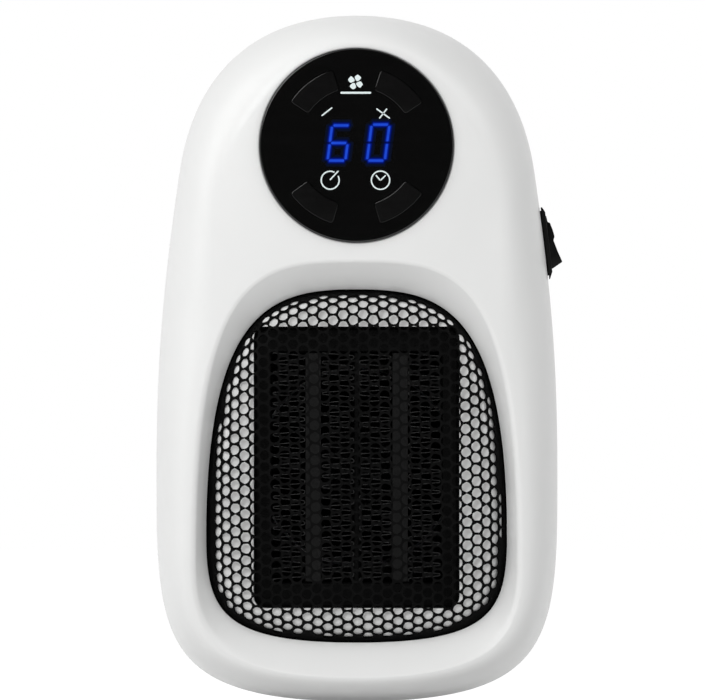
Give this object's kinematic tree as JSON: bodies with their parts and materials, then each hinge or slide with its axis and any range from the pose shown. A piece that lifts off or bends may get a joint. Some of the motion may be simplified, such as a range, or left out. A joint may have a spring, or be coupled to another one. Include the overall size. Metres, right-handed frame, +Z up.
{
  "type": "plug-in fan heater",
  "caption": "Pebble-shaped fan heater that hangs on its own turning wall plug, with a domed grille, a round control panel and a side rocker switch.",
  "frame": {"origin": "middle of the plug's wall face", "axes": "+Z up along the housing, +Y into the wall, -Y out of the outlet, +X to the side with the rocker switch"},
  "size_m": [0.1244, 0.0983, 0.2086],
  "materials": {
    "white_shell": "satin white",
    "white_inner": "white",
    "black_steel": "satin black",
    "black_inner": "matte black",
    "fins": "dark",
    "bar_black": "smooth dark grey",
    "grey_inner": "matte grey",
    "motor_steel": "brushed",
    "panel_black": "high gloss",
    "key_black": "satin",
    "board": "board green",
    "display": "dark, with blue figures",
    "capacitor_blue": "blue",
    "can": "satin",
    "nickel": "nickel plate",
    "brass": "bright",
    "switch_black": "satin black",
    "rocker_black": "satin black",
    "screw_steel": "zinc"
  },
  "bodies": {
    "plug": {"plug_turret": "white_shell", "live_prong": "nickel", "neutral_prong": "nickel", "live_slip_ring": "brass", "neutral_slip_ring": "brass"},
    "housing": {"front_cover": "white_shell", "rear_cover": "white_shell", "outlet_grille": "black_steel", "outlet_baffle": "white_inner", "heater_frame": "black_inner", "fin_pack_1": "fins", "heater_bar_left": "bar_black", "fin_pack_2": "fins", "heater_separator": "bar_black", "fin_pack_3": "fins", "heater_bar_right": "bar_black", "fin_pack_4": "fins", "live_tab": "nickel", "neutral_tab": "nickel", "thermal_cutout": "nickel", "fan_frame": "grey_inner", "fan_motor": "motor_steel", "control_panel": "panel_black", "plus_tact_switch": "black_inner", "minus_tact_switch": "black_inner", "power_tact_switch": "black_inner", "timer_tact_switch": "black_inner", "display_board": "board", "led_display": "display", "power_board": "board", "heater_relay": "black_inner", "film_capacitor": "capacitor_blue", "fuse": "white_inner", "supply_capacitor": "can", "live_brush": "brass", "neutral_brush": "brass", "plug_retainer": "grey_inner", "switch_housing": "switch_black", "upper_terminal": "nickel", "lower_terminal": "nickel", "cover_screw_1": "screw_steel", "cover_screw_2": "screw_steel", "cover_screw_3": "screw_steel", "cover_screw_4": "screw_steel", "retainer_screw_1": "screw_steel", "retainer_screw_2": "screw_steel", "retainer_screw_3": "screw_steel", "fan_screw_1": "screw_steel", "fan_screw_2": "screw_steel", "fan_screw_3": "screw_steel", "fan_screw_4": "screw_steel", "board_screw_1": "screw_steel", "board_screw_2": "screw_steel"},
    "fan_rotor": {"impeller": "black_inner", "motor_shaft": "motor_steel"},
    "rocker": {"switch_rocker": "rocker_black"},
    "plus": {"plus_key": "key_black"},
    "minus": {"minus_key": "key_black"},
    "power": {"power_key": "key_black"},
    "timer": {"timer_key": "key_black"}
  },
  "joints": [
    {"name": "housing_swivel", "type": "hinge", "parent": "plug", "child": "housing", "pos_m": [0, 0, 0], "axis": [0, 1, 0], "range_deg": [-135, 135]},
    {"name": "impeller_spin", "type": "hinge", "parent": "housing", "child": "fan_rotor", "pos_m": [0, -0.02, -0.0736], "axis": [0, -1, 0], "continuous": true},
    {"name": "rocker_tilt", "type": "hinge", "parent": "housing", "child": "rocker", "pos_m": [0.05541, -0.045, -0.00568], "axis": [0, 1, 0], "range_deg": [0, 24]},
    {"name": "plus_key_press", "type": "slide", "parent": "housing", "child": "plus", "axis": [0, 1, 0], "range_m": [0, 0.0005], "stiffness_N_per_m": 700, "springref_m": -0.0002},
    {"name": "minus_key_press", "type": "slide", "parent": "housing", "child": "minus", "axis": [0, 1, 0], "range_m": [0, 0.0005], "stiffness_N_per_m": 700, "springref_m": -0.0002},
    {"name": "power_key_press", "type": "slide", "parent": "housing", "child": "power", "axis": [0, 1, 0], "range_m": [0, 0.0005], "stiffness_N_per_m": 700, "springref_m": -0.0002},
    {"name": "timer_key_press", "type": "slide", "parent": "housing", "child": "timer", "axis": [0, 1, 0], "range_m": [0, 0.0005], "stiffness_N_per_m": 700, "springref_m": -0.0002}
  ]
}
